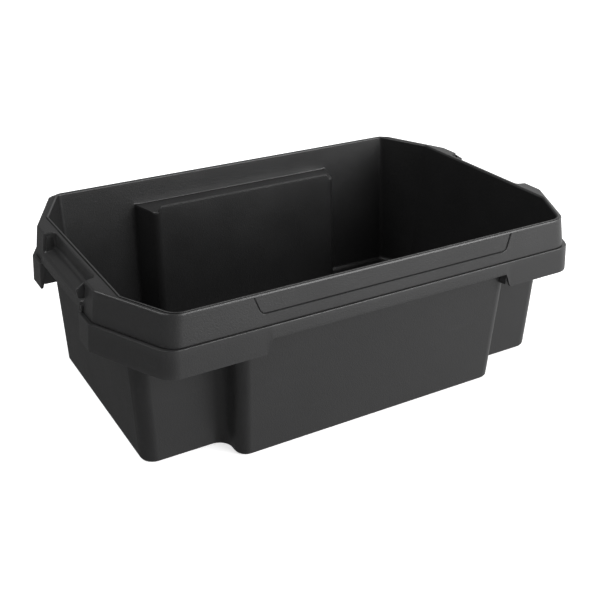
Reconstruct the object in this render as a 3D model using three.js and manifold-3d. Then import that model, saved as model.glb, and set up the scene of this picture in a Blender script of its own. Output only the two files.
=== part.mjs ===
// Rotate-to-stack storage crate, moulded in one piece, in millimetres, +Z up.
//
// Origin: on the floor, under the middle of the crate. +X runs along the long side and
// -Y is the front, the long side whose wall bulges outwards. The rear wall bulges inwards
// and carries a channel. A second crate turned half round stands on this one, with its bulge
// in the channel and its rear corners on the front corner seats.
//
// The moulding is modelled as its own features: walls, corners, stacking seats, rim, skirt,
// grips and base. Neighbouring features keep a hairline gap.

import * as THREE from 'three';
import { mergeVertices } from 'three/addons/utils/BufferGeometryUtils.js';
import Module from 'manifold-3d';

const wasm = await Module();
wasm.setup();
const { Manifold } = wasm;

// ---- driving dimensions -------------------------------------------------------------

const HEIGHT = 200;
const WALL = 3;
const GAP = 0.3;
const ARC_STEPS = 4;

// Wall planes, at the floor and at the top of the lip (outer faces).
const HALF_LENGTH = { floor: 265.3, top: 274.4 };
const HALF_WIDTH = { floor: 170.1, top: 185.3 };

// Corner chamfers of the walls: where they leave the end wall and where they meet the long wall.
const CHAMFER_ON_END = { floor: 127, top: 117.5 };
const CHAMFER_ON_SIDE = { floor: 240.5, top: 242 };
const FRONT_CHAMFER_ON_END = { floor: 115, top: 123 };
const FRONT_RIM_CHAMFER_ON_SIDE = 243.1;

// Front wall: a bulge between two set-back columns.
const COLUMN_FACE = { floor: 133.1, top: 140 };
const COLUMN_CORNER_X = { floor: 265, top: 266 };
const BULGE_HALF_LENGTH = { floor: 171.8, top: 175.3 };
const BULGE_EDGE_RADIUS = 14;
const BULGE_ROOT_RADIUS = 15;

// Rear wall: a bay pushed into the crate, with splayed sides.
const BAY_FACE = { floor: 136, top: 142.4 };
const BAY_MOUTH = { floor: 147.2, top: 142.6 };
const BAY_ROOT = { floor: 130.8, top: 129.1 };
const BAY_RADIUS = 6;

const COLUMN_RADIUS = 9;
const CHAMFER_RADIUS = 5;
const LIP_RADIUS = 10;

// Levels.
const SEAT_Z = 168.5;
const CHANNEL_LIP_Z = 176.5;
const BAND_TOP_Z = 199;
const LEDGE_Z = 164.3;
const SKIRT_CORNER_Z = 133;
const SKIRT_MIDDLE_Z = 149.5;
const FLOOR_TOP_Z = 11.5;

// Rim band: the outer leg under the lip. Values at the ledge and at the band's top.
const BAND_HALF_LENGTH = { ledge: 295.7, top: 290.7 };
const BAND_HALF_WIDTH = { ledge: 190, top: 186.1 };
const BAND_CHAMFER_ON_END = 98;
const BAND_CHAMFER_ON_SIDE = { ledge: 250.5, top: 246.6 };
const BAND_RADIUS = 10;

// Skirt: the lower, slightly wider band. Values at its bottom edge and at the ledge.
const SKIRT_HALF_LENGTH = { bottom: 302.3, ledge: 300 };
const SKIRT_HALF_WIDTH = { bottom: 193.5, ledge: 192.2 };
const SKIRT_CHAMFER_ON_END = 99.5;
const SKIRT_CHAMFER_ON_SIDE = { bottom: 256, ledge: 253 };
const SKIRT_STEP_X = { left: -146, right: 160 };
const SKIRT_RIB_BOTTOM_Z = 135;

// Grips: a pocket in each end of the rim.
const GRIP_HALF_WIDTH = 70;
const GRIP_BACK_X = 278.9;
const GRIP_FLOOR_Z = 180;
const GRIP_FOLD_X = 284;
const GRIP_BROW = { x: 292, z: 175.5 };
const GRIP_BAR = { lowX: 295, lowZ: 161.3, outerX: 298, outerZ: 167.3, topX: 297, topZ: 174.5 };
const GRIP_OPENING_HALF = 68;
const GRIP_RIB = { bottomZ: 138, clearance: 1 };

// Label recess in the front band.
const LABEL_CENTRE_X = 4;
const LABEL_TOP_HALF = 164;
const LABEL_BOTTOM_HALF = 156;
const LABEL_BOTTOM_Z = 177;
const LABEL_DEPTH = 0.8;
const LABEL_RADIUS = 5;
const LABEL_CUTTER = { reach: 10, depth: 20 };

const BASE_RIB_WIDTH = 6;
const BASE_RIB_SPACING = 150;
const BASE_RIB_HALF_LENGTH = 124;

// Where the walls are divided into features, as distances from the middle planes.
const CUT = {
  bulgeX: 157, columnX: 192, endFrontY: 113, endRearY: 117, cornerX: 236, longSideY: 100,
  bayMouthX: 152, bayFaceX: 122, rimX: 238, rimY: 113, bandX: 240,
};

// Cutting solids reach well past what they cut: FAR sideways, PAST up and down.
const FAR = 400;
const PAST = 2;

// ---- plan outlines, as functions of height --------------------------------------------

const mix = (range, share) => Object.values(range)[0] * (1 - share) + Object.values(range)[1] * share;
const wallAt = (range, z) => mix(range, z / HEIGHT);
const bandAt = (range, z) => mix(range, (z - LEDGE_Z) / (BAND_TOP_Z - LEDGE_Z));
const skirtAt = (range, z) => mix(range, (z - SKIRT_CORNER_Z) / (LEDGE_Z - SKIRT_CORNER_Z));

// A closed loop from the corners of its right half, listed from front to rear as [x, y, radius].
function roundedLoop(rightHalf) {
  const leftHalf = rightHalf.map(([x, y, radius]) => [-x, y, radius]).reverse();
  const corners = [...rightHalf, ...leftHalf];
  return corners.flatMap(([x, y, radius], i) => {
    const corner = new THREE.Vector2(x, y);
    const previous = new THREE.Vector2(...corners.at(i - 1).slice(0, 2));
    const next = new THREE.Vector2(...corners[(i + 1) % corners.length].slice(0, 2));
    return filletArc(previous, corner, next, radius);
  });
}

function filletArc(previous, corner, next, radius) {
  const incoming = corner.clone().sub(previous).normalize();
  const outgoing = next.clone().sub(corner).normalize();
  const turn = Math.atan2(incoming.cross(outgoing), incoming.dot(outgoing));
  const tangent = radius * Math.tan(Math.abs(turn) / 2);
  const start = corner.clone().addScaledVector(incoming, -tangent);
  const towardsCentre = new THREE.Vector2(-incoming.y, incoming.x).multiplyScalar(Math.sign(turn));
  const centre = start.clone().addScaledVector(towardsCentre, radius);
  return Array.from({ length: ARC_STEPS + 1 }, (_, step) => (
    start.clone().rotateAround(centre, turn * step / ARC_STEPS)
  ));
}

// The same loop moved inwards by a distance (outwards if it is negative).
function inset(loop, distance) {
  return loop.map((point, i) => {
    const incoming = point.clone().sub(loop.at(i - 1)).normalize();
    const outgoing = loop[(i + 1) % loop.length].clone().sub(point).normalize();
    const inward = new THREE.Vector2(-incoming.y - outgoing.y, incoming.x + outgoing.x).normalize();
    const cosine = inward.x * -incoming.y + inward.y * incoming.x;
    return point.clone().addScaledVector(inward, distance / cosine);
  });
}

function bodyLoop(z) {
  const endX = wallAt(HALF_LENGTH, z);
  const sideY = wallAt(HALF_WIDTH, z);
  const columnY = wallAt(COLUMN_FACE, z);
  const bulgeX = wallAt(BULGE_HALF_LENGTH, z);
  return roundedLoop([
    [bulgeX, -sideY, BULGE_EDGE_RADIUS],
    [bulgeX, -columnY, BULGE_ROOT_RADIUS],
    [wallAt(COLUMN_CORNER_X, z), -columnY, COLUMN_RADIUS],
    [endX, -wallAt(FRONT_CHAMFER_ON_END, z), CHAMFER_RADIUS],
    [endX, wallAt(CHAMFER_ON_END, z), CHAMFER_RADIUS],
    [wallAt(CHAMFER_ON_SIDE, z), sideY, LIP_RADIUS],
    [wallAt(BAY_MOUTH, z), sideY, BAY_RADIUS],
    [wallAt(BAY_ROOT, z), wallAt(BAY_FACE, z), BAY_RADIUS],
  ]);
}

function rimLoop(z) {
  const endX = wallAt(HALF_LENGTH, z);
  const sideY = wallAt(HALF_WIDTH, z);
  return roundedLoop([
    [FRONT_RIM_CHAMFER_ON_SIDE, -sideY, LIP_RADIUS],
    [endX, -wallAt(FRONT_CHAMFER_ON_END, z), CHAMFER_RADIUS],
    [endX, wallAt(CHAMFER_ON_END, z), CHAMFER_RADIUS],
    [wallAt(CHAMFER_ON_SIDE, z), sideY, LIP_RADIUS],
  ]);
}

// A chamfered rectangle, the same front and rear.
function octagon(endX, sideY, chamferY, chamferX) {
  return roundedLoop([
    [chamferX, -sideY, BAND_RADIUS],
    [endX, -chamferY, CHAMFER_RADIUS],
    [endX, chamferY, CHAMFER_RADIUS],
    [chamferX, sideY, BAND_RADIUS],
  ]);
}

function bandLoop(z) {
  return octagon(
    bandAt(BAND_HALF_LENGTH, z), bandAt(BAND_HALF_WIDTH, z),
    BAND_CHAMFER_ON_END, bandAt(BAND_CHAMFER_ON_SIDE, z),
  );
}

function skirtLoop(z) {
  return octagon(
    skirtAt(SKIRT_HALF_LENGTH, z), skirtAt(SKIRT_HALF_WIDTH, z),
    SKIRT_CHAMFER_ON_END, skirtAt(SKIRT_CHAMFER_ON_SIDE, z),
  );
}

// ---- solids ---------------------------------------------------------------------------

function toManifold(geometry) {
  geometry.deleteAttribute('normal');
  geometry.deleteAttribute('uv');
  const merged = mergeVertices(geometry);
  return new Manifold(new wasm.Mesh({
    numProp: 3,
    vertProperties: merged.attributes.position.array,
    triVerts: new Uint32Array(merged.index.array),
  }));
}

function toGeometry(solid) {
  const { vertProperties, triVerts } = solid.getMesh();
  const geometry = new THREE.BufferGeometry();
  geometry.setAttribute('position', new THREE.BufferAttribute(vertProperties, 3));
  geometry.setIndex(new THREE.BufferAttribute(triVerts, 1));
  geometry.computeVertexNormals();
  return geometry;
}

// A solid between two loops of as many points, one above the other.
function loft(lowLoop, highLoop, lowZ, highZ) {
  const geometry = new THREE.ExtrudeGeometry(new THREE.Shape(lowLoop), {
    depth: 1, steps: 1, bevelEnabled: false,
  });
  const position = geometry.getAttribute('position');
  for (let i = 0; i < position.count; i += 1) {
    const at = new THREE.Vector2(position.getX(i), position.getY(i));
    const distances = lowLoop.map((point) => point.distanceTo(at));
    const nearest = distances.indexOf(Math.min(...distances));
    const isHigh = position.getZ(i) > 0.5;
    const target = (isHigh ? highLoop : lowLoop)[nearest];
    position.setXYZ(i, target.x, target.y, isHigh ? highZ : lowZ);
  }
  return toManifold(geometry);
}

const prism = (loop, lowZ, highZ) => loft(loop, loop, lowZ, highZ);

// The space inside an outline that changes with height, moved inwards by a distance.
function core(outline, lowZ, highZ, distance) {
  return loft(inset(outline(lowZ), distance), inset(outline(highZ), distance), lowZ, highZ);
}

// A wall of even thickness that follows the outline from one level to another.
function ring(outline, lowZ, highZ, thickness = WALL) {
  return core(outline, lowZ, highZ, 0).subtract(core(outline, lowZ - PAST, highZ + PAST, thickness));
}

function block([lowX, highX], [lowY, highY], [lowZ, highZ] = [-FAR, FAR]) {
  const geometry = new THREE.BoxGeometry(highX - lowX, highY - lowY, highZ - lowZ);
  geometry.translate((lowX + highX) / 2, (lowY + highY) / 2, (lowZ + highZ) / 2);
  return toManifold(geometry);
}

// A solid with a profile in the XZ plane, given as [x, z] points, between two values of y.
function profileAcross(points, lowY, highY) {
  const shape = new THREE.Shape(points.map(([x, z]) => new THREE.Vector2(x, z)));
  const geometry = new THREE.ExtrudeGeometry(shape, { depth: highY - lowY, bevelEnabled: false });
  geometry.rotateX(Math.PI / 2);
  geometry.translate(0, highY, 0);
  return toManifold(geometry);
}

// ---- assembly -------------------------------------------------------------------------

const crate = new THREE.Group();
crate.name = 'stacking_crate';

const FINISH = {
  wall: { color: 0x232426, roughness: 0.62 },
  rim: { color: 0x2a2b2d, roughness: 0.58 },
  grip: { color: 0x262729, roughness: 0.55 },
  base: { color: 0x1f2022, roughness: 0.68 },
};

function addPart(name, solid, finish) {
  const material = new THREE.MeshStandardMaterial({ ...FINISH[finish], metalness: 0 });
  const mesh = new THREE.Mesh(toGeometry(solid), material);
  mesh.name = name;
  crate.add(mesh);
}

// Left and right features are the same piece mirrored across the middle.
function addPair(name, rightSolid, finish) {
  addPart(`${name}_right`, rightSolid, finish);
  addPart(`${name}_left`, rightSolid.mirror([1, 0, 0]), finish);
}

// Four alike, from the one at the front right.
function addFour(name, frontRightSolid, finish) {
  addPair(`${name}_front`, frontRightSolid, finish);
  addPair(`${name}_rear`, frontRightSolid.mirror([0, 1, 0]), finish);
}

// The stretch from one dividing plane to the next, short of each by half the gap.
const between = (low, high) => [low + GAP / 2, high - GAP / 2];

function addLowerWalls() {
  const walls = ring(bodyLoop, 0, SEAT_Z - WALL - GAP);
  const front = [-FAR, -CUT.longSideY];
  const rear = [CUT.longSideY, FAR];
  const cut = (x, y) => walls.intersect(block(x, y));
  addPart('front_bulge_wall', cut(between(-CUT.bulgeX, CUT.bulgeX), front), 'wall');
  addPair('front_bulge_side', cut(between(CUT.bulgeX, CUT.columnX), front), 'wall');
  addPair('front_column_wall', cut(between(CUT.columnX, FAR), between(-FAR, -CUT.endFrontY)), 'wall');
  addPair('end_wall', cut(between(CUT.columnX, FAR), between(-CUT.endFrontY, CUT.endRearY)), 'wall');
  addPair('rear_corner_wall', cut(between(CUT.cornerX, FAR), between(CUT.endRearY, FAR)), 'wall');
  addPair('rear_wall', cut(between(CUT.bayMouthX, CUT.cornerX), rear), 'wall');
  addPair('rear_bay_side', cut(between(CUT.bayFaceX, CUT.bayMouthX), rear), 'wall');
  addPart('rear_bay_face', cut(between(-CUT.bayFaceX, CUT.bayFaceX), rear), 'wall');
}

// The ledges that carry the crate above: two front corner seats and the channel over the bay,
// which has a raised lip along its inner edge.
function addStackingSeats() {
  const lowZ = SEAT_Z - WALL;
  const insideRim = prism(inset(rimLoop(SEAT_Z), WALL + GAP), lowZ, SEAT_Z);
  const insideBody = prism(inset(bodyLoop(SEAT_Z), WALL), lowZ - PAST, SEAT_Z + PAST);
  const ledges = insideRim.subtract(insideBody);
  addPair('front_corner_seat', ledges.intersect(block([CUT.bulgeX, FAR], [-FAR, -CUT.endRearY])), 'wall');

  const lip = ring(bodyLoop, lowZ, CHANNEL_LIP_Z);
  const lipBackY = wallAt(BAY_FACE, CHANNEL_LIP_Z) + GAP;
  const lipY = [CUT.longSideY, lipBackY];
  const lipSpace = block([-CUT.bayFaceX - GAP, CUT.bayFaceX + GAP], lipY);
  const channel = ledges.intersect(block([-CUT.bayMouthX, CUT.bayMouthX], [CUT.longSideY, FAR]));
  addPart('rear_channel_floor', channel.subtract(lipSpace), 'wall');
  addPart('rear_channel_lip', lip.intersect(block([-CUT.bayFaceX, CUT.bayFaceX], lipY)), 'wall');
}

function addRimWalls() {
  const walls = ring(rimLoop, SEAT_Z - WALL, HEIGHT);
  const cut = (x, y) => walls.intersect(block(x, y));
  addPart('rim_wall_front', cut(between(-CUT.rimX, CUT.rimX), [-FAR, 0]), 'rim');
  addPart('rim_wall_rear', cut(between(-CUT.rimX, CUT.rimX), [0, FAR]), 'rim');
  addPair('rim_wall_end', cut([0, FAR], between(-CUT.rimY, CUT.rimY)), 'rim');
  addPair('rim_corner_front', cut(between(CUT.rimX, FAR), between(-FAR, -CUT.rimY)), 'rim');
  addPair('rim_corner_rear', cut(between(CUT.rimX, FAR), between(CUT.rimY, FAR)), 'rim');
}

function labelRecess() {
  const slope = (LABEL_TOP_HALF - LABEL_BOTTOM_HALF) / (BAND_TOP_Z - LABEL_BOTTOM_Z);
  const aboveZ = HEIGHT + LABEL_CUTTER.reach;
  const aboveHalf = LABEL_TOP_HALF + slope * (aboveZ - BAND_TOP_Z);
  const outline = roundedLoop([
    [LABEL_BOTTOM_HALF, LABEL_BOTTOM_Z, LABEL_RADIUS],
    [aboveHalf, aboveZ, LABEL_RADIUS],
  ]);
  const upright = new THREE.ExtrudeGeometry(new THREE.Shape(outline), {
    depth: LABEL_CUTTER.depth, bevelEnabled: false,
  });
  upright.rotateX(Math.PI / 2);
  upright.translate(LABEL_CENTRE_X, 0, 0);
  const lean = (BAND_HALF_WIDTH.ledge - BAND_HALF_WIDTH.top) / (BAND_TOP_Z - LEDGE_Z);
  const position = upright.getAttribute('position');
  for (let i = 0; i < position.count; i += 1) {
    const faceY = -BAND_HALF_WIDTH.top - lean * (BAND_TOP_Z - position.getZ(i));
    position.setY(i, position.getY(i) + faceY + LABEL_DEPTH);
  }
  return toManifold(upright);
}

// The outer leg of the rim, with the flat top that joins it to the lip round the ends.
function addBand() {
  const lip = core(rimLoop, LEDGE_Z - PAST, HEIGHT + PAST, -GAP);
  const band = ring(bandLoop, LEDGE_Z, BAND_TOP_Z).subtract(lip);
  const cut = (x, y) => band.intersect(block(x, y));
  addPart('band_front', cut(between(-CUT.bandX, CUT.bandX), [-FAR, 0]).subtract(labelRecess()), 'rim');
  addPart('band_rear', cut(between(-CUT.bandX, CUT.bandX), [0, FAR]), 'rim');
  const pocketOuterY = GRIP_HALF_WIDTH + WALL;
  addPair('band_corner_front', cut(between(CUT.bandX, FAR), [-FAR, -pocketOuterY]), 'rim');
  addPair('band_corner_rear', cut(between(CUT.bandX, FAR), [pocketOuterY, FAR]), 'rim');

  const lowZ = BAND_TOP_Z - WALL;
  const besidePocket = block([0, GRIP_BACK_X + GAP], [-pocketOuterY, pocketOuterY]);
  const flat = core(bandLoop, lowZ, BAND_TOP_Z, WALL + GAP)
    .subtract(lip)
    .intersect(block(between(CUT.bandX, FAR), [-FAR, FAR]))
    .subtract(besidePocket);
  const pocketEnd = block(
    [GRIP_BACK_X + GAP, BAND_HALF_LENGTH.top],
    [-pocketOuterY + GAP, -GRIP_HALF_WIDTH],
    [GRIP_FLOOR_Z + GAP, BAND_TOP_Z],
  );
  const top = flat.add(pocketEnd).add(pocketEnd.mirror([0, 1, 0]));
  addPair('rim_top_front', top.intersect(block([0, FAR], [-FAR, -GRIP_HALF_WIDTH])), 'rim');
  addPair('rim_top_rear', top.intersect(block([0, FAR], [GRIP_HALF_WIDTH, FAR])), 'rim');
}

// The skirt hangs from a narrow ledge under the band: deep at the corners, shallow in the
// middle of each long side, and absent between the ribs under each grip. A rib closes each
// end of a deep stretch against the wall.
function addSkirt() {
  const topZ = LEDGE_Z - GAP;
  const ledge = core(skirtLoop, topZ - WALL, topZ, 0);
  const ledgeRing = ledge.subtract(core(bandLoop, topZ - WALL - PAST, topZ + PAST, WALL));
  const deep = ring(skirtLoop, SKIRT_CORNER_Z, topZ).add(ledgeRing);
  const pastGrip = [-FAR, -GRIP_OPENING_HALF];
  const addBoth = (name, front) => {
    addPart(name.replace('SIDE', 'front'), front, 'rim');
    addPart(name.replace('SIDE', 'rear'), front.mirror([0, 1, 0]), 'rim');
  };
  addBoth('skirt_corner_SIDE_left', deep.intersect(block([-FAR, SKIRT_STEP_X.left], pastGrip)));
  addBoth('skirt_corner_SIDE_right', deep.intersect(block([SKIRT_STEP_X.right, FAR], pastGrip)));
  const span = between(SKIRT_STEP_X.left, SKIRT_STEP_X.right);
  addBoth('skirt_SIDE', deep.intersect(block(span, [-FAR, 0], [SKIRT_MIDDLE_Z, HEIGHT])));

  // Ribs reach from just inside the skirt to just outside the wall.
  const gapSpace = core(skirtLoop, SKIRT_RIB_BOTTOM_Z, topZ - WALL - GAP, WALL + GAP)
    .subtract(core(rimLoop, SKIRT_RIB_BOTTOM_Z - PAST, topZ, -GAP));
  const rib = (x) => gapSpace.intersect(block([x - WALL / 2, x + WALL / 2], [-FAR, 0]));
  addBoth('skirt_rib_SIDE_left', rib(SKIRT_STEP_X.left - WALL));
  addBoth('skirt_rib_SIDE_right', rib(SKIRT_STEP_X.right + WALL));
}

function addGrips() {
  const wallX = wallAt(HALF_LENGTH, HEIGHT) + GAP;
  const outerHalf = GRIP_HALF_WIDTH + WALL - GAP / 2;
  const underFloorZ = GRIP_BROW.z - WALL;

  const pocketBack = block([wallX, GRIP_BACK_X], [-outerHalf, outerHalf], [GRIP_FLOOR_Z, BAND_TOP_Z]);
  addPair('grip_back', pocketBack, 'grip');

  const floorProfile = [
    [wallX, GRIP_FLOOR_Z - GAP], [wallX, GRIP_FLOOR_Z - WALL],
    [GRIP_FOLD_X, GRIP_FLOOR_Z - WALL], [GRIP_BROW.x - GAP, underFloorZ],
    [GRIP_BROW.x - GAP, GRIP_BROW.z], [GRIP_FOLD_X, GRIP_FLOOR_Z - GAP],
  ];
  addPair('grip_floor', profileAcross(floorProfile, -outerHalf, outerHalf), 'grip');

  const barProfile = [
    [GRIP_BROW.x, GRIP_BROW.z], [GRIP_BROW.x, GRIP_BAR.lowZ], [GRIP_BAR.lowX, GRIP_BAR.lowZ],
    [GRIP_BAR.outerX, GRIP_BAR.outerZ], [GRIP_BAR.topX, GRIP_BAR.topZ],
  ];
  const barHalf = GRIP_OPENING_HALF - GAP;
  addPair('grip_bar', profileAcross(barProfile, -barHalf, barHalf), 'grip');

  // Ribs close the skirt against the end wall, either side of the finger gap.
  const ribTopZ = underFloorZ - GAP;
  const ribInnerX = wallAt(HALF_LENGTH, GRIP_RIB.bottomZ) + GRIP_RIB.clearance;
  const ribOuterX = SKIRT_HALF_LENGTH.ledge - WALL - GRIP_RIB.clearance;
  const ribShoulderZ = LEDGE_Z - 2 * WALL;
  const ribProfile = [
    [HALF_LENGTH.top, ribTopZ], [ribInnerX, GRIP_RIB.bottomZ], [ribOuterX, GRIP_RIB.bottomZ],
    [ribOuterX, ribShoulderZ], [GRIP_BROW.x - GAP, ribShoulderZ], [GRIP_BROW.x - GAP, ribTopZ],
  ];
  const rib = profileAcross(ribProfile, -GRIP_OPENING_HALF - WALL, -GRIP_OPENING_HALF);
  addFour('grip_rib', rib, 'grip');
}

function addBase() {
  const panelBottomZ = FLOOR_TOP_Z - WALL;
  const panel = core(bodyLoop, panelBottomZ, FLOOR_TOP_Z, WALL + GAP);
  addPart('floor_panel', panel, 'base');
  const rib = (x) => block(
    [x - BASE_RIB_WIDTH / 2, x + BASE_RIB_WIDTH / 2],
    [-BASE_RIB_HALF_LENGTH, BASE_RIB_HALF_LENGTH],
    [0, panelBottomZ - GAP],
  );
  addPart('base_rib_middle', rib(0), 'base');
  addPair('base_rib', rib(BASE_RIB_SPACING), 'base');
}

addLowerWalls();
addStackingSeats();
addRimWalls();
addBand();
addSkirt();
addGrips();
addBase();

export default crate;
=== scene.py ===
"""A black rotate-to-stack crate on a pale studio floor.

The moulding is the tub (floor, walls, stacking seats and lip), the rim band with its skirt and
grips, and the small ribs and plates. Lengths of the crate are millimetres, and each mesh is
turned into metres when it is made. +X runs along the long side, and -Y is the front.
"""
import math

import bmesh
import bpy
import numpy as np
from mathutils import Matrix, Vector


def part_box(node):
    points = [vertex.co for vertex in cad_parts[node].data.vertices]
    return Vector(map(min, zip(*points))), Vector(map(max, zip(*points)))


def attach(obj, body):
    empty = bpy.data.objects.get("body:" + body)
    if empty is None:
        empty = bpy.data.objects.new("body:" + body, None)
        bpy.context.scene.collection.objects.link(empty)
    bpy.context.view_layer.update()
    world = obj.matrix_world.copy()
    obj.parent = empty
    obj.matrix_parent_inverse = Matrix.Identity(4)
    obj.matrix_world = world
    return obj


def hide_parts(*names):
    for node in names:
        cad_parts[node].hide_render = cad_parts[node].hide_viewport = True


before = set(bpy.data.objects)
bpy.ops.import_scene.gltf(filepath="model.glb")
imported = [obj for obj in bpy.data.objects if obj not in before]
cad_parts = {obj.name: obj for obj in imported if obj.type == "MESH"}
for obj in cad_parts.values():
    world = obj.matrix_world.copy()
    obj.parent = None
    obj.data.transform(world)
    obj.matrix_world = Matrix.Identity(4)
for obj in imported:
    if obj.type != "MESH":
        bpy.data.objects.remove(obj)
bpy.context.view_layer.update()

MM = 0.001


def extent(node):
    """The lowest and highest corners of a CAD node, in millimetres."""
    low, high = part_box(node)
    return np.array(low) / MM, np.array(high) / MM


# ---- dimensions taken from the frame ----------------------------------------------------

HEIGHT = extent("rim_wall_front")[1][2]
WALL_TOP = extent("end_wall_right")[1][2]
SEAT_Z = extent("rear_channel_floor")[1][2]
CHANNEL_LIP_Z = extent("rear_channel_lip")[1][2]
BAND_TOP_Z = extent("band_front")[1][2]
LEDGE_Z = extent("band_front")[0][2]
SKIRT_CORNER_Z = extent("skirt_corner_front_right")[0][2]
SKIRT_MIDDLE_Z = extent("skirt_front")[0][2]
FLOOR_TOP_Z = extent("floor_panel")[1][2]
FLOOR_BOTTOM_Z = extent("floor_panel")[0][2]
BAND_LEDGE_X = extent("band_corner_front_right")[1][0]
BAND_LEDGE_Y = -extent("band_front")[0][1]
SKIRT_BOTTOM_X = extent("skirt_corner_front_right")[1][0]
SKIRT_BOTTOM_Y = -extent("skirt_corner_front_right")[0][1]
POCKET_BACK_X = extent("grip_back_right")[1][0]
POCKET_FLOOR_Z = extent("grip_back_right")[0][2]
BAR_OUTER_X = extent("grip_bar_right")[1][0]
BAR_BOTTOM_Z = extent("grip_bar_right")[0][2]
BAR_INNER_X = extent("grip_bar_right")[0][0]
BAR_TOP_Z = extent("grip_bar_right")[1][2]

# ---- shape of the moulding --------------------------------------------------------------

WALL = 3.0
ARC_STEPS = 6
SHARP_ANGLE = math.radians(38)


def leaning(at_wall_top, draft):
    """A length that changes evenly with height; draft is its change per millimetre up."""
    return lambda z: at_wall_top + draft * (z - WALL_TOP)


half_length = leaning(extent("end_wall_right")[1][0], 0.0455)
half_width = leaning(-extent("front_bulge_wall")[0][1], 0.076)
column_face = leaning(-extent("front_column_wall_right")[0][1], 0.0345)
bay_face = leaning(extent("rear_bay_face")[1][1], 0.032)
column_corner_x = leaning(265.8, 0.005)
bulge_half = leaning(174.7, 0.0175)
front_chamfer_y = leaning(121.6, 0.04)
rear_chamfer_y = leaning(119.1, -0.0475)
rear_chamfer_x = leaning(241.7, 0.0075)
bay_mouth = leaning(143.4, -0.023)
bay_root = leaning(129.4, -0.0085)
FRONT_RIM_CHAMFER_X = 243.1

SKIRT_DRAFT_X = 0.073
SKIRT_DRAFT_Y = 0.042
BAND_CHAMFER_Y = 98.0
BAND_CHAMFER_IN = 37.5
SKIRT_CHAMFER_IN = 35.6
SKIRT_STEP_X = (-146.0, 160.0)
CORNER_RADIUS = 22.0
COLUMN_RADIUS = 16.0
END_CORNER_RADIUS = 7.0
BAND_TOP_X = 290.7
BAND_TOP_Y = 186.1
BAND_DRAFT_X = (BAND_LEDGE_X - BAND_TOP_X) / (BAND_TOP_Z - LEDGE_Z)
BAND_DRAFT_Y = (BAND_LEDGE_Y - BAND_TOP_Y) / (BAND_TOP_Z - LEDGE_Z)


def smoothstep(low, high, value):
    share = np.clip((np.asarray(value, float) - low) / (high - low), 0.0, 1.0)
    return share * share * (3.0 - 2.0 * share)


# ---- plan outlines ----------------------------------------------------------------------

def arc_at(previous, corner, following, radius):
    """Points of the fillet at a corner of a plan outline."""
    incoming = (corner - previous) / np.linalg.norm(corner - previous)
    outgoing = (following - corner) / np.linalg.norm(following - corner)
    turn = math.atan2(
        incoming[0] * outgoing[1] - incoming[1] * outgoing[0], float(incoming @ outgoing))
    start = corner - incoming * radius * math.tan(abs(turn) / 2)
    centre = start + np.array([-incoming[1], incoming[0]]) * math.copysign(radius, turn)
    angles = turn * np.arange(ARC_STEPS + 1) / ARC_STEPS
    offset = start - centre
    return np.column_stack([
        centre[0] + offset[0] * np.cos(angles) - offset[1] * np.sin(angles),
        centre[1] + offset[0] * np.sin(angles) + offset[1] * np.cos(angles),
    ])


def inset_arcs(right_half, inset):
    """One fillet per corner of a mirrored outline, listed front to rear, moved inwards."""
    mirrored = [(-x, y, radius) for x, y, radius in reversed(right_half)]
    corners = list(right_half) + mirrored
    points = np.array([(x, y) for x, y, _ in corners])
    count = len(points)
    moved = []
    turns = []
    for i in range(count):
        before = points[i] - points[i - 1]
        after = points[(i + 1) % count] - points[i]
        before /= np.linalg.norm(before)
        after /= np.linalg.norm(after)
        normal_before = np.array([-before[1], before[0]])
        normal_after = np.array([-after[1], after[0]])
        shift = (normal_before + normal_after) / (1.0 + float(normal_before @ normal_after))
        moved.append(points[i] + inset * shift)
        turns.append(before[0] * after[1] - before[1] * after[0])
    arcs = []
    for i in range(count):
        radius = corners[i][2] - inset * math.copysign(1.0, turns[i])
        arcs.append(arc_at(moved[i - 1], moved[i], moved[(i + 1) % count], max(radius, 0.8)))
    return arcs


BAY_STATIONS = np.concatenate([
    np.arange(121.0, 110.0, -1.0), np.linspace(105.0, -105.0, 11), np.arange(-111.0, -122.0, -1.0)])


def body_loop(z, inset=0.0):
    """The wall's outline below the seats, with the front bulge and the rear bay."""
    arcs = inset_arcs([
        (bulge_half(z), -half_width(z), 14.0),
        (bulge_half(z), -column_face(z), 15.0),
        (column_corner_x(z), -column_face(z), COLUMN_RADIUS),
        (half_length(z), -front_chamfer_y(z), 8.0),
        (half_length(z), rear_chamfer_y(z), 8.0),
        (rear_chamfer_x(z), half_width(z), 10.0),
        (bay_mouth(z), half_width(z), 7.0),
        (bay_root(z), bay_face(z), 7.0),
    ], inset)
    middle = np.column_stack([BAY_STATIONS, np.full(len(BAY_STATIONS), bay_face(z) - inset)])
    return np.vstack(arcs[:8] + [middle] + arcs[8:])


def rim_loop(z, inset=0.0):
    """The lip's outline, with a station for each one of the wall's outline."""
    arcs = inset_arcs([
        (FRONT_RIM_CHAMFER_X, -half_width(z), CORNER_RADIUS - WALL),
        (half_length(z), -front_chamfer_y(z), 8.0),
        (half_length(z), rear_chamfer_y(z), 8.0),
        (rear_chamfer_x(z), half_width(z), 10.0),
    ], inset)

    def along(start, end, side):
        y = side * (half_width(z) - inset)
        return np.column_stack([np.linspace(start, end, ARC_STEPS + 1), np.full(ARC_STEPS + 1, y)])

    front = [
        along(bulge_half(z) - 15, bulge_half(z) - 5, -1),
        along(bulge_half(z) + 3, bulge_half(z) + 21, -1),
    ]
    rear = [
        along(bay_mouth(z) + 6, bay_mouth(z) - 1, 1),
        along(bay_root(z) + 7, bay_root(z) - 5, 1),
    ]
    right = np.vstack(front + arcs[:4] + rear)
    middle = np.column_stack([BAY_STATIONS, np.full(len(BAY_STATIONS), half_width(z) - inset)])
    return np.vstack([right, middle, right[::-1] * (-1, 1)])


# ---- mesh helpers -----------------------------------------------------------------------

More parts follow.
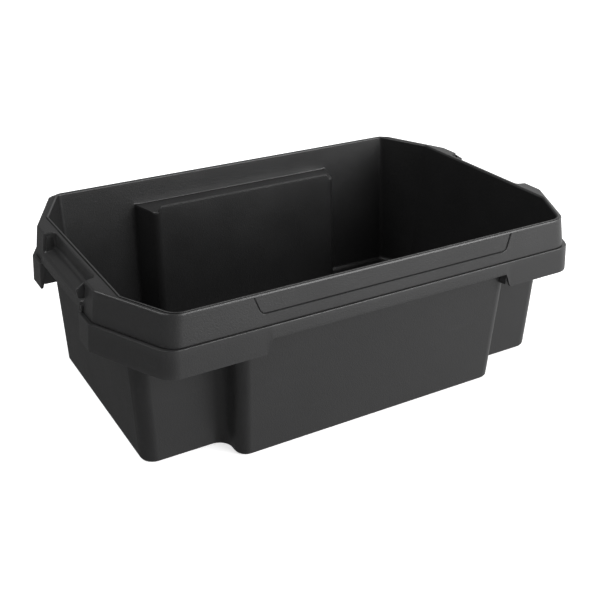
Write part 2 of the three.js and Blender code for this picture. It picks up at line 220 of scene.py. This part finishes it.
def lifted(plan, z):
    return np.column_stack([plan, np.broadcast_to(z, len(plan))])


def add_piece(name, mesh, material, nodes):
    """Puts a finished mesh into the scene as a piece that stands for CAD nodes."""
    piece = bpy.data.objects.new(name, mesh)
    bpy.context.scene.collection.objects.link(piece)
    mesh.materials.append(material)
    for polygon in mesh.polygons:
        polygon.use_smooth = True
    mesh.set_sharp_from_angle(angle=SHARP_ANGLE)
    normals = piece.modifiers.new("weighted_normals", "WEIGHTED_NORMAL")
    normals.keep_sharp = True
    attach(piece, "root")
    if nodes:
        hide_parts(*nodes)
    return piece


def grid_mesh(name, rows, is_ring):
    """A closed mesh from rows of stations: a ring joins its last row to its first, and
    otherwise the first and last rows are closed by flat faces."""
    stations = len(rows[0])
    vertices = np.vstack(rows) * MM
    faces = []
    for row in range(len(rows) if is_ring else len(rows) - 1):
        low = row * stations
        high = (row + 1) % len(rows) * stations
        for i in range(stations):
            j = (i + 1) % stations
            faces.append((low + i, low + j, high + j, high + i))
    if not is_ring:
        faces.append(tuple(reversed(range(stations))))
        faces.append(tuple(range((len(rows) - 1) * stations, len(rows) * stations)))
    mesh = bpy.data.meshes.new(name)
    mesh.from_pydata(vertices.tolist(), [], faces)
    tidy = bmesh.new()
    tidy.from_mesh(mesh)
    bmesh.ops.remove_doubles(tidy, verts=tidy.verts, dist=0.01 * MM)
    bmesh.ops.recalc_face_normals(tidy, faces=tidy.faces)
    tidy.to_mesh(mesh)
    tidy.free()
    return mesh


# ---- tub --------------------------------------------------------------------------------

FLOOR_FILLET = 6.0
BOTTOM_FILLET = 4.0
LIP_INNER_RADIUS = 2.4
LIP_OUTER_RADIUS = 0.6
FOOT_WIDTH = 3.0
CHANNEL_LIP_HALF = 126.0
SEAT_BLEND = 9.0


def quarter(steps):
    return [math.pi / 2 * step / steps for step in range(steps + 1)]


def seat_rows():
    """From the inner wall over the seat, or over the channel's lip, to the rim's inner wall."""
    wall = body_loop(SEAT_Z, WALL)
    rim = rim_loop(SEAT_Z, WALL)
    across = rim - wall
    depth = np.linalg.norm(across, axis=1)
    direction = across / np.maximum(depth, 1e-6)[:, None]
    share = smoothstep(0.0, SEAT_BLEND, depth)
    x = wall[:, 0]
    is_bay = (wall[:, 1] > 0) & (np.abs(x) < bay_root(SEAT_Z) + WALL)
    lip_share = np.where(is_bay, 1 - smoothstep(CHANNEL_LIP_HALF - 3, CHANNEL_LIP_HALF, np.abs(x)), 0)
    rise = CHANNEL_LIP_Z - SEAT_Z
    # Each row: how far out and how high, on the plain seat and where the channel has its lip.
    plain = [(0, -4), (0, -2.4), (0.5, -0.9), (1.5, -0.15), (2.6, 0), (3.2, 0), (3.6, 0), (5, 0)]
    lipped = [(0, -4), (0.1, rise - 3.2), (0.5, rise - 0.9), (1.6, rise), (2.7, rise - 0.9),
              (3.3, rise - 3.2), (3.6, 0.8), (5, 0)]
    rows = []
    for step, ((plain_out, plain_up), (lip_out, lip_up)) in enumerate(zip(plain, lipped)):
        out = np.minimum(plain_out + (lip_out - plain_out) * lip_share, depth * 0.45)
        up = plain_up + (lip_up - plain_up) * lip_share
        seat = np.column_stack([wall + direction * out[:, None], SEAT_Z + up])
        straight = lifted(rim_loop(SEAT_Z - 4 + step * 0.6, WALL), SEAT_Z - 4 + step * 0.6)
        rows.append(straight + (seat - straight) * share[:, None])
    for step, (back, up) in enumerate([(1.2, 0), (0.4, 0.3), (0, 1.2)]):
        out = depth - np.minimum(back, depth * 0.45)
        seat = np.column_stack([wall + direction * out[:, None], np.full(len(x), SEAT_Z + up)])
        z = SEAT_Z + 1 + step
        straight = lifted(rim_loop(z, WALL), z)
        rows.append(straight + (seat - straight) * share[:, None])
    return rows


def seat_underside_rows():
    """From the rim's outer wall under the seat to the outer wall."""
    wall = body_loop(SEAT_Z - WALL)
    rim = rim_loop(SEAT_Z - WALL)
    across = wall - rim
    depth = np.linalg.norm(across, axis=1)
    direction = across / np.maximum(depth, 1e-6)[:, None]
    share = smoothstep(0.0, SEAT_BLEND, depth)
    rows = []
    profile = [(0, 2), (0, 0.9), (0.9, 0), (None, 0), (None, -0.6), (None, -2.5)]
    insets = [None, None, None, 2.2, 0.6, 0.0]
    for step, ((out, up), left) in enumerate(zip(profile, insets)):
        reach = np.minimum(out, depth * 0.4) if left is None else depth - np.minimum(left, depth * 0.4)
        z = SEAT_Z - WALL + up
        seat = np.column_stack([rim + direction * reach[:, None], np.full(len(rim), z)])
        level = SEAT_Z - WALL + 2 - step
        straight = lifted(rim_loop(level), level)
        rows.append(straight + (seat - straight) * share[:, None])
    return rows


def tub_rows():
    rows = []
    for angle in quarter(4):
        inset = WALL + FLOOR_FILLET * (1 - math.sin(angle))
        z = FLOOR_TOP_Z + FLOOR_FILLET * (1 - math.cos(angle))
        rows.append(lifted(body_loop(z, inset), z))
    for z in (50, 90, 130):
        rows.append(lifted(body_loop(z, WALL), z))
    rows += seat_rows()
    for z in (178, 188):
        rows.append(lifted(rim_loop(z, WALL), z))
    for angle in quarter(5):
        inset = WALL - LIP_INNER_RADIUS * (1 - math.cos(angle))
        z = HEIGHT - LIP_INNER_RADIUS * (1 - math.sin(angle))
        rows.append(lifted(rim_loop(z, inset), z))
    for angle in quarter(3)[1:]:
        inset = LIP_OUTER_RADIUS * (1 - math.sin(angle))
        z = HEIGHT - LIP_OUTER_RADIUS * (1 - math.cos(angle))
        rows.append(lifted(rim_loop(z, inset), z))
    rows.append(lifted(rim_loop(184), 184))
    rows += seat_underside_rows()
    for z in (130, 90, 50):
        rows.append(lifted(body_loop(z), z))
    for angle in quarter(4):
        inset = BOTTOM_FILLET * (1 - math.cos(angle))
        z = BOTTOM_FILLET * (1 - math.sin(angle))
        rows.append(lifted(body_loop(z, inset), z))
    foot = BOTTOM_FILLET + FOOT_WIDTH
    for inset, z in ((foot, 0), (foot + 0.8, 0.5), (foot + 1.6, FLOOR_BOTTOM_Z)):
        rows.append(lifted(body_loop(z, inset), z))
    return rows


# ---- rim band, skirt and grips ----------------------------------------------------------

POCKET_HALF = 70.0
POCKET_CORNER = 8.0
BAND_TOP_RADIUS = 2.0
LABEL = {
    "x": 4.0, "top_half": 164.0, "bottom_half": 156.0, "bottom_z": 177.0, "depth": 0.7,
    "radius": 5.0,
}
GROOVE_DEPTH = 1.1
FACE_LEVELS = 34


def long_stations():
    """Places along a long side: close together at the label's ends and at the skirt's steps."""
    label_left = np.arange(-160.0, -146.0, 0.5)
    step_left = np.arange(-146.0, -137.0, 0.9)
    step_right = np.arange(152.0, 175.0, 0.5)
    return np.concatenate([
        [-226.0, -200.0, -180.0, -170.0], label_left, step_left, np.linspace(-130, 145, 12), step_right,
        [182.0, 200.0, 226.0]])


def end_stations():
    dense = np.arange(59.0, 76.0, 0.9)
    half = np.concatenate([[15.0, 35.0, 52.0], dense, [80.0, 87.0]])
    return np.concatenate([-half[::-1], [0.0], half])


LONG_X = long_stations()
END_Y = end_stations()


def octagon(right_half, inset=0.0):
    """A chamfered outline with stations along its sides as well as round its corners."""
    arcs = inset_arcs(right_half, inset)
    front_y = arcs[0][0][1]
    end_x = arcs[1][-1][0]
    rear_y = arcs[3][-1][1]
    front = np.column_stack([LONG_X, np.full(len(LONG_X), front_y)])
    rear = np.column_stack([LONG_X[::-1], np.full(len(LONG_X), rear_y)])
    right = np.column_stack([np.full(len(END_Y), end_x), END_Y])
    left = np.column_stack([np.full(len(END_Y), -end_x), END_Y[::-1]])
    return np.vstack([front, *arcs[:2], right, *arcs[2:4], rear, *arcs[4:6], left, *arcs[6:]])


def lip_octagon(z, inset=0.0):
    return octagon([
        (FRONT_RIM_CHAMFER_X, -half_width(z), CORNER_RADIUS - WALL),
        (half_length(z), -front_chamfer_y(z), 8.0),
        (half_length(z), rear_chamfer_y(z), 8.0),
        (rear_chamfer_x(z), half_width(z), 10.0),
    ], inset)


def chamfered(end_x, side_y, chamfer_in, inset):
    chamfer_x = side_y + BAND_CHAMFER_Y - chamfer_in
    return octagon([
        (chamfer_x, -side_y, CORNER_RADIUS), (end_x, -BAND_CHAMFER_Y, END_CORNER_RADIUS),
        (end_x, BAND_CHAMFER_Y, END_CORNER_RADIUS), (chamfer_x, side_y, CORNER_RADIUS),
    ], inset)


def band_octagon(z, inset=0.0):
    end_x = BAND_LEDGE_X - BAND_DRAFT_X * (z - LEDGE_Z)
    side_y = BAND_LEDGE_Y - BAND_DRAFT_Y * (z - LEDGE_Z)
    return chamfered(end_x, side_y, BAND_CHAMFER_IN, inset)


def skirt_octagon(z, inset=0.0):
    end_x = SKIRT_BOTTOM_X - SKIRT_DRAFT_X * (z - SKIRT_CORNER_Z)
    side_y = SKIRT_BOTTOM_Y - SKIRT_DRAFT_Y * (z - SKIRT_CORNER_Z)
    return chamfered(end_x, side_y, SKIRT_CHAMFER_IN, inset)


def skirt_bottom(plan):
    """The height of the skirt's bottom edge: an S-shaped step leads up to its middle stretch."""
    left, right = SKIRT_STEP_X
    up = smoothstep(left - 4.5, left + 4.5, plan[:, 0]) * (1 - smoothstep(right - 1, right + 8, plan[:, 0]))
    is_side = np.abs(plan[:, 1]) > 150
    return SKIRT_CORNER_Z + (SKIRT_MIDDLE_Z - SKIRT_CORNER_Z) * up * is_side


def label_half(z):
    """Half the label recess's length: its ends lean outwards going up."""
    slope = (LABEL["top_half"] - LABEL["bottom_half"]) / (BAND_TOP_Z - LABEL["bottom_z"])
    return LABEL["bottom_half"] + slope * (z - LABEL["bottom_z"])


def sink_label(plan, z):
    """Sinks the front face inside the label's outline, and leans the stations near its ends
    so that they follow its edges."""
    if z < LABEL["bottom_z"] - 4:
        return plan
    x = plan[:, 0] - LABEL["x"]
    is_front = plan[:, 1] < -half_width(LEDGE_Z)
    near_end = 1 - smoothstep(8, 16, np.abs(np.abs(x) - LABEL["bottom_half"]))
    lean = np.sign(x) * (label_half(z) - LABEL["bottom_half"]) * near_end * is_front
    to_end = label_half(z) - np.abs(x + lean)
    to_bottom = z - LABEL["bottom_z"]
    radius = LABEL["radius"]
    inside = radius - np.hypot(np.minimum(to_end - radius, 0), min(to_bottom - radius, 0))
    groove = 1 - smoothstep(0.25, 0.75, np.abs(inside - 0.5))
    depth = (LABEL["depth"] * smoothstep(0, 0.6, inside) + GROOVE_DEPTH * groove) * is_front
    return plan + np.column_stack([lean, depth])


def rounded_profile(corners, count):
    """Evenly spaced points along a polyline whose corners are (x, z, radius)."""
    points = []
    for i, (x, z, radius) in enumerate(corners):
        corner = np.array([x, z])
        if i in (0, len(corners) - 1):
            points.append([corner])
        else:
            before = np.array(corners[i - 1][:2])
            after = np.array(corners[i + 1][:2])
            points.append(arc_at(before, corner, after, radius))
    path = np.vstack(points)
    length = np.concatenate([[0], np.cumsum(np.linalg.norm(np.diff(path, axis=0), axis=1))])
    places = np.linspace(0, length[-1], count)
    return np.column_stack([np.interp(places, length, path[:, 0]), np.interp(places, length, path[:, 1])])


def grip_profile():
    """A grip's section from the pocket's back wall over its floor to the bar's outer face."""
    back = POCKET_BACK_X
    return rounded_profile([
        (back, BAND_TOP_Z - 2.0, 0), (back + 0.4, POCKET_FLOOR_Z, 3.5),
        (back + 5.5, POCKET_FLOOR_Z, 4.0), (BAR_INNER_X + 0.5, BAR_TOP_Z + 0.3, 4.0),
        (BAR_OUTER_X - 0.8, BAR_TOP_Z - 0.8, 2.0), (BAR_OUTER_X, 166.0, 0),
    ], FACE_LEVELS)


def pocket_share(y, is_rounded):
    """1 inside a grip, 0 past it; the pocket's own corners are rounded in plan."""
    distance = np.abs(y)
    if not is_rounded:
        return 1 - smoothstep(POCKET_HALF - 4, POCKET_HALF - 1, distance)
    start = POCKET_HALF - POCKET_CORNER
    along = np.clip(distance - start, 0, POCKET_CORNER)
    curve = POCKET_CORNER - np.sqrt(POCKET_CORNER ** 2 - along ** 2)
    inner = 1 - 0.5 * curve / POCKET_CORNER
    return inner * (1 - smoothstep(POCKET_HALF - 1.2, POCKET_HALF + 1.8, distance))


def band_rows():
    """The ring's section, from the lip over the top, down the face and skirt and back up
    inside, each row paired with the same place on the grips' section."""
    rows = []

    def add(plan, z, pocket, is_rounded=True):
        """A row at a height, and where it lies in the grips as (x, z)."""
        points = lifted(plan, z)
        is_end = np.abs(plan[:, 0]) > half_length(HEIGHT) - 4
        in_pocket = is_end & (np.abs(plan[:, 1]) < 88)
        share = np.where(in_pocket, pocket_share(plan[:, 1], is_rounded), 0)
        target = np.column_stack([
            np.sign(plan[:, 0]) * pocket[0], plan[:, 1], np.full(len(plan), pocket[1])])
        rows.append(points + (target - points) * share[:, None])

    lip_x = half_length(HEIGHT)
    back = POCKET_BACK_X
    add(lip_octagon(HEIGHT, 1.2), BAND_TOP_Z - 2, (lip_x - 1.2, BAND_TOP_Z - 2))
    add(lip_octagon(HEIGHT, -0.05), BAND_TOP_Z - 0.5, (lip_x + 0.05, BAND_TOP_Z - 0.5))
    add(lip_octagon(HEIGHT, -0.35), BAND_TOP_Z, (lip_x + 0.8, BAND_TOP_Z))
    radius = BAND_TOP_RADIUS
    for angle in quarter(4):
        inset = radius * (1 - math.sin(angle))
        z = BAND_TOP_Z - radius * (1 - math.cos(angle))
        plan = band_octagon(z, inset)
        lip = lip_octagon(HEIGHT, -0.4)
        outside = np.abs(plan[:, 1:]) >= np.abs(lip[:, 1:])
        is_side = (np.abs(lip[:, 1]) > 150)[:, None]
        plan = np.where(is_side & ~outside, np.column_stack([plan[:, 0], lip[:, 1]]), plan)
        add(plan, z, (back - 1.2 + 1.2 * math.sin(angle), z))
    grip = grip_profile()
    label_z = LABEL["bottom_z"]
    levels = np.concatenate([
        np.linspace(BAND_TOP_Z - radius, label_z + 2.1, 12, endpoint=False),
        np.linspace(label_z + 2.1, label_z - 0.9, 10, endpoint=False),
        np.linspace(label_z - 0.9, LEDGE_Z + 0.9, 12),
    ])
    for level, z in enumerate(levels):
        add(sink_label(band_octagon(z), z), z, grip[level], level < FACE_LEVELS * 0.7)
    bar_low = (BAR_OUTER_X - 0.6, 164.5)
    for inset, rise in ((0.2, 0.6), (GROOVE_DEPTH, 0.5), (GROOVE_DEPTH, -0.1)):
        add(band_octagon(LEDGE_Z, inset), LEDGE_Z + rise, (BAR_OUTER_X, 165.6 + rise / 2), False)
    for inset, drop in ((1.0, 0.1), (0.35, 0.35), (0, 1.1)):
        z = LEDGE_Z - drop
        add(skirt_octagon(z, inset), z, bar_low, False)
    bar_bottom = (BAR_INNER_X + 2.6, BAR_BOTTOM_Z)
    for share in (0.4, 0.8, 1.0):
        plan = skirt_octagon(SKIRT_CORNER_Z)
        bottom = skirt_bottom(plan) + 0.8
        top = LEDGE_Z - 1.1
        z = top + (bottom - top) * share
        mixed = skirt_octagon(LEDGE_Z - 1.1) * (1 - share) + plan * share
        add(mixed, z, bar_bottom, False)
    for inset, rise in ((0.35, 0.2), (1.0, 0), (2.0, 0), (2.65, 0.2), (WALL, 0.8)):
        plan = skirt_octagon(SKIRT_CORNER_Z, inset)
        add(plan, skirt_bottom(plan) + rise, (BAR_INNER_X + 2.6 - inset, BAR_BOTTOM_Z), False)
    add(skirt_octagon(LEDGE_Z - 4, WALL), LEDGE_Z - 4.5, (BAR_INNER_X - 0.4, BAR_BOTTOM_Z + 1), False)
    add(band_octagon(LEDGE_Z, WALL), LEDGE_Z - 2.5, (BAR_INNER_X - 0.4, LEDGE_Z - 1), False)
    add(band_octagon(LEDGE_Z + 8, WALL), LEDGE_Z + 8, (BAR_INNER_X - 0.4, LEDGE_Z + 8), False)
    add(band_octagon(LEDGE_Z + 20, WALL), LEDGE_Z + 20, (back + 4, POCKET_FLOOR_Z - WALL), False)
    add(band_octagon(BAND_TOP_Z - 4, WALL), BAND_TOP_Z - 3.4, (lip_x + 1.0, POCKET_FLOOR_Z - WALL), False)
    add(lip_octagon(HEIGHT, 1.2), BAND_TOP_Z - 3.4, (lip_x - 1.2, POCKET_FLOOR_Z - WALL), False)
    return rows


# ---- ribs -------------------------------------------------------------------------------

def prism_mesh(name, outline, low, high, axis, bevel):
    """A closed prism from a plan outline, along one axis, with its edges bevelled."""
    solid = bmesh.new()
    ends = []
    for place in (low, high):
        ring = []
        for a, b in outline:
            coordinates = {"x": (place, a, b), "y": (a, place, b), "z": (a, b, place)}[axis]
            ring.append(solid.verts.new([value * MM for value in coordinates]))
        ends.append(ring)
    solid.faces.new(ends[0])
    solid.faces.new(ends[1])
    count = len(outline)
    for i in range(count):
        j = (i + 1) % count
        solid.faces.new((ends[0][i], ends[0][j], ends[1][j], ends[1][i]))
    bmesh.ops.recalc_face_normals(solid, faces=solid.faces)
    bmesh.ops.bevel(
        solid, geom=solid.edges[:], offset=bevel * MM, segments=2, profile=0.5, affect="EDGES",
        clamp_overlap=True)
    mesh = bpy.data.meshes.new(name)
    solid.to_mesh(mesh)
    solid.free()
    return mesh


def add_base_ribs(material):
    for place in ("left", "middle", "right"):
        node = f"base_rib_{place}"
        low, high = extent(node)
        taper = 3.0
        outline = [(low[1], FLOOR_BOTTOM_Z + 0.5), (low[1] + taper, 0.0), (high[1] - taper, 0.0),
                   (high[1], FLOOR_BOTTOM_Z + 0.5)]
        mesh = prism_mesh(f"base_runner_{place}", outline, low[0], high[0], "x", 0.8)
        add_piece(f"base_runner_{place}", mesh, material, [node])


def add_skirt_ribs(material):
    """Webs that close each deep stretch of the skirt against the wall."""
    for side in ("front", "rear"):
        for hand in ("left", "right"):
            node = f"skirt_rib_{side}_{hand}"
            low, high = extent(node)
            if side == "front":
                outer, inner = low[1] - 1.0, -half_width(low[2]) + 0.8
            else:
                outer, inner = high[1] + 1.0, half_width(low[2]) - 0.8
            outline = [(outer, low[2] + 1.0), (inner, low[2] - 1.0), (inner, high[2] + 2.0),
                       (outer, high[2] + 1.0)]
            name = f"skirt_web_{side}_{hand}"
            mesh = prism_mesh(name, outline, low[0] + 0.3, high[0] - 0.3, "x", 0.5)
            add_piece(name, mesh, material, [node])


def add_grip_ribs(material):
    """Webs either side of each finger gap, from the skirt's end to the wall."""
    for side in ("front", "rear"):
        for hand in ("left", "right"):
            node = f"grip_rib_{side}_{hand}"
            low, high = extent(node)
            sign = 1 if hand == "right" else -1
            outer = sign * (max(abs(low[0]), abs(high[0])) + 1.5)
            wall_low = sign * (half_length(low[2]) - 1.0)
            wall_high = sign * (half_length(high[2]) - 1.0)
            outline = [(outer, low[2]), (outer, high[2]), (wall_high, high[2]), (wall_low, low[2])]
            name = f"grip_web_{side}_{hand}"
            mesh = prism_mesh(name, outline, low[1] + 0.2, high[1] - 0.2, "y", 0.5)
            add_piece(name, mesh, material, [node])


def add_grip_plates(material):
    """Small upright plates at one end of each pocket, standing out past the bar."""
    for name, sign, low_y, high_y in (
            ("grip_plate_front_left", -1, 1 - POCKET_HALF, 3 - POCKET_HALF),
            ("grip_plate_rear_right", 1, POCKET_HALF - 2, POCKET_HALF + 3)):
        inner_x = POCKET_BACK_X + 12
        corners = ((inner_x, BAND_TOP_Z - 3), (BAR_OUTER_X + 2, BAND_TOP_Z - 9),
                   (BAR_OUTER_X + 1, POCKET_FLOOR_Z), (inner_x, POCKET_FLOOR_Z - 2))
        outline = [(sign * x, z) for x, z in corners]
        mesh = prism_mesh(name, outline, low_y, high_y, "y", 0.4)
        add_piece(name, mesh, material, [])


# ---- materials --------------------------------------------------------------------------

def moulded_plastic(name, base, roughness, wear, seed):
    """Black moulded polypropylene: fine grain, soft mottling, faint scuffs and worn edges."""
    material = bpy.data.materials.new(name)
    material.use_nodes = True
    tree = material.node_tree
    nodes = tree.nodes
    nodes.clear()
    link = tree.links.new

    def node(kind, **inputs):
        made = nodes.new(kind)
        for socket, value in inputs.items():
            made.inputs[socket.replace("_", " ")].default_value = value
        return made

    def noise(scale, detail, offset):
        place = nodes.new("ShaderNodeMapping")
        place.inputs["Location"].default_value = (seed + offset, seed * 0.7 + offset, offset)
        link(coordinates.outputs["Object"], place.inputs["Vector"])
        made = node("ShaderNodeTexNoise", Scale=scale, Detail=detail, Roughness=0.6)
        link(place.outputs["Vector"], made.inputs["Vector"])
        return made, place

    def spread(source, low, high, to_low, to_high):
        made = nodes.new("ShaderNodeMapRange")
        made.clamp = True
        for socket, value in zip(("From Min", "From Max", "To Min", "To Max"), (low, high, to_low, to_high)):
            made.inputs[socket].default_value = value
        link(source, made.inputs["Value"])
        return made.outputs["Result"]

    coordinates = nodes.new("ShaderNodeTexCoord")
    shader = nodes.new("ShaderNodeBsdfPrincipled")
    output = nodes.new("ShaderNodeOutputMaterial")
    link(shader.outputs["BSDF"], output.inputs["Surface"])
    shader.inputs["IOR"].default_value = 1.52

    grain, _ = noise(620.0, 3.0, 0.3)
    mottle, _ = noise(14.0, 4.0, 1.7)
    scuff, scuff_place = noise(60.0, 6.0, 5.1)
    scuff_place.inputs["Scale"].default_value = (0.35, 0.35, 3.0)

    geometry = nodes.new("ShaderNodeNewGeometry")
    edge = spread(geometry.outputs["Pointiness"], 0.52, 0.60, 0.0, wear)
    scratch = spread(scuff.outputs["Fac"], 0.62, 0.78, 0.0, 0.5)
    mark = nodes.new("ShaderNodeMath")
    mark.operation = "MAXIMUM"
    link(edge, mark.inputs[0])
    link(scratch, mark.inputs[1])

    dark = nodes.new("ShaderNodeMix")
    dark.data_type = "RGBA"
    dark.inputs["A"].default_value = (*[value * 0.9 for value in base], 1)
    dark.inputs["B"].default_value = (*[value * 1.12 for value in base], 1)
    link(mottle.outputs["Fac"], dark.inputs["Factor"])
    worn = nodes.new("ShaderNodeMix")
    worn.data_type = "RGBA"
    worn.inputs["B"].default_value = (*[value * 1.8 for value in base], 1)
    link(mark.outputs["Value"], worn.inputs["Factor"])
    link(dark.outputs["Result"], worn.inputs["A"])
    link(worn.outputs["Result"], shader.inputs["Base Color"])

    gloss = nodes.new("ShaderNodeMath")
    gloss.operation = "SUBTRACT"
    link(spread(mottle.outputs["Fac"], 0.3, 0.7, roughness - 0.03, roughness + 0.04), gloss.inputs[0])
    link(spread(mark.outputs["Value"], 0.0, 1.0, 0.0, 0.08), gloss.inputs[1])
    link(gloss.outputs["Value"], shader.inputs["Roughness"])

    bump = nodes.new("ShaderNodeBump")
    bump.inputs["Strength"].default_value = 0.6
    bump.inputs["Distance"].default_value = 0.00038
    link(grain.outputs["Fac"], bump.inputs["Height"])
    link(bump.outputs["Normal"], shader.inputs["Normal"])
    return material


# ---- studio -----------------------------------------------------------------------------
# Places here are metres and angles are degrees.

LENS_MM = 57.52
SENSOR_MM = 36
FAR_CLIP = 100
CAMERA_PLACE = (-0.53653, -0.93305, 0.61426)
LOOKING_DOWN = 26.68
TURNED_RIGHT = 29.89
FLOOR_RADIUS = 12
FLOOR_DROP = 0.0004
FLOOR_WHITE = 0.93
FLOOR_GLOW = 0.7

def add_floor():
    """A pale disc that glows a little, so that the shadow on it stays light. The plastic
    doesn't mirror it."""
    bpy.ops.mesh.primitive_circle_add(
        vertices=96, radius=FLOOR_RADIUS, fill_type="NGON", location=(0, 0, -FLOOR_DROP))
    floor = bpy.context.object
    floor.name = "studio_floor"
    material = bpy.data.materials.new("pale_floor")
    material.use_nodes = True
    shader = material.node_tree.nodes["Principled BSDF"]
    shader.inputs["Base Color"].default_value = (FLOOR_WHITE, FLOOR_WHITE, FLOOR_WHITE, 1)
    shader.inputs["Roughness"].default_value = 0.9
    shader.inputs["Specular IOR Level"].default_value = 0.1
    shader.inputs["Emission Color"].default_value = (1, 1, 1, 1)
    shader.inputs["Emission Strength"].default_value = FLOOR_GLOW
    floor.data.materials.append(material)
    floor.visible_glossy = False


def add_world():
    """White surroundings, dim to the left and below the horizon. They are what the
    glossy plastic mirrors, and they fill its shadows."""
    world = bpy.data.worlds.new("studio")
    bpy.context.scene.world = world
    world.use_nodes = True
    tree = world.node_tree
    link = tree.links.new
    background = tree.nodes["Background"]
    coordinates = tree.nodes.new("ShaderNodeTexCoord")

    def across(direction, low, high, to_low, to_high):
        facing = tree.nodes.new("ShaderNodeVectorMath")
        facing.operation = "DOT_PRODUCT"
        facing.inputs[1].default_value = direction
        link(coordinates.outputs["Generated"], facing.inputs[0])
        change = tree.nodes.new("ShaderNodeMapRange")
        change.interpolation_type = "SMOOTHSTEP"
        for socket, value in zip(("From Min", "From Max", "To Min", "To Max"), (low, high, to_low, to_high)):
            change.inputs[socket].default_value = value
        link(facing.outputs["Value"], change.inputs["Value"])
        return change.outputs["Result"]

    strength = tree.nodes.new("ShaderNodeMath")
    strength.operation = "MULTIPLY"
    link(across((-0.958, 0.287, 0), -0.9, 0.1, 1.2, 0.2), strength.inputs[0])
    link(across((0, 0, 1), -0.6, 0.0, 0.5, 1.0), strength.inputs[1])
    link(strength.outputs["Value"], background.inputs["Strength"])
    background.inputs["Color"].default_value = (1, 1, 1, 1)


def add_light(name, place, target, size, power):
    data = bpy.data.lights.new(name, "AREA")
    data.shape = "RECTANGLE"
    data.size, data.size_y = size
    data.energy = power
    light = bpy.data.objects.new(name, data)
    bpy.context.scene.collection.objects.link(light)
    light.location = place
    direction = Vector(target) - Vector(place)
    light.rotation_euler = direction.to_track_quat("-Z", "Y").to_euler()


def add_camera():
    data = bpy.data.cameras.new("camera")
    data.lens = LENS_MM
    data.sensor_width = SENSOR_MM
    data.clip_end = FAR_CLIP
    camera = bpy.data.objects.new("camera", data)
    bpy.context.scene.collection.objects.link(camera)
    camera.location = CAMERA_PLACE
    camera.rotation_euler = (math.radians(90 - LOOKING_DOWN), 0, math.radians(-TURNED_RIGHT))
    bpy.context.scene.camera = camera


# ---- assembly ---------------------------------------------------------------------------

BLACK = (0.018, 0.018, 0.0183)
# The tub's black is a darker copy of the rim's plastic: painted shade, so the tub's walls under the skirt
# read darker than the skirt.
BODY_BLACK_PAINTED_SHADE = (0.0145, 0.0145, 0.0148)
body = moulded_plastic("body_grain_painted_shade", BODY_BLACK_PAINTED_SHADE, 0.38, 0.5, 3.1)
rim = moulded_plastic("rim_grain", BLACK, 0.34, 0.8, 8.4)
grip = moulded_plastic("grip_grain", BLACK, 0.33, 0.8, 12.9)
base = moulded_plastic("base_grain", BLACK, 0.44, 1.0, 21.6)

TUB_NODES = [
    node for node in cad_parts
    if node.startswith(("front_", "rear_", "end_wall", "rim_wall", "rim_corner", "floor_panel"))
]
BAND_NODES = [
    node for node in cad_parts
    if node.startswith(("band_", "rim_top", "skirt_corner", "grip_back", "grip_floor", "grip_bar"))
    or node in ("skirt_front", "skirt_rear")
]
add_piece("tub", grid_mesh("tub", tub_rows(), is_ring=False), body, TUB_NODES)
add_piece("rim_band", grid_mesh("rim_band", band_rows(), is_ring=True), rim, BAND_NODES)
add_base_ribs(base)
add_skirt_ribs(rim)
add_grip_ribs(grip)
add_grip_plates(grip)

add_camera()
add_floor()
add_world()
add_light("key", (1.4, -2.35, 1.2), (0, 0, 0.1), (2.0, 1.6), 70)
add_light("fill", (-1.4, 0.5, 2.3), (0, 0, 0), (1.6, 1.6), 32)
bpy.context.scene.view_settings.view_transform = "Standard"
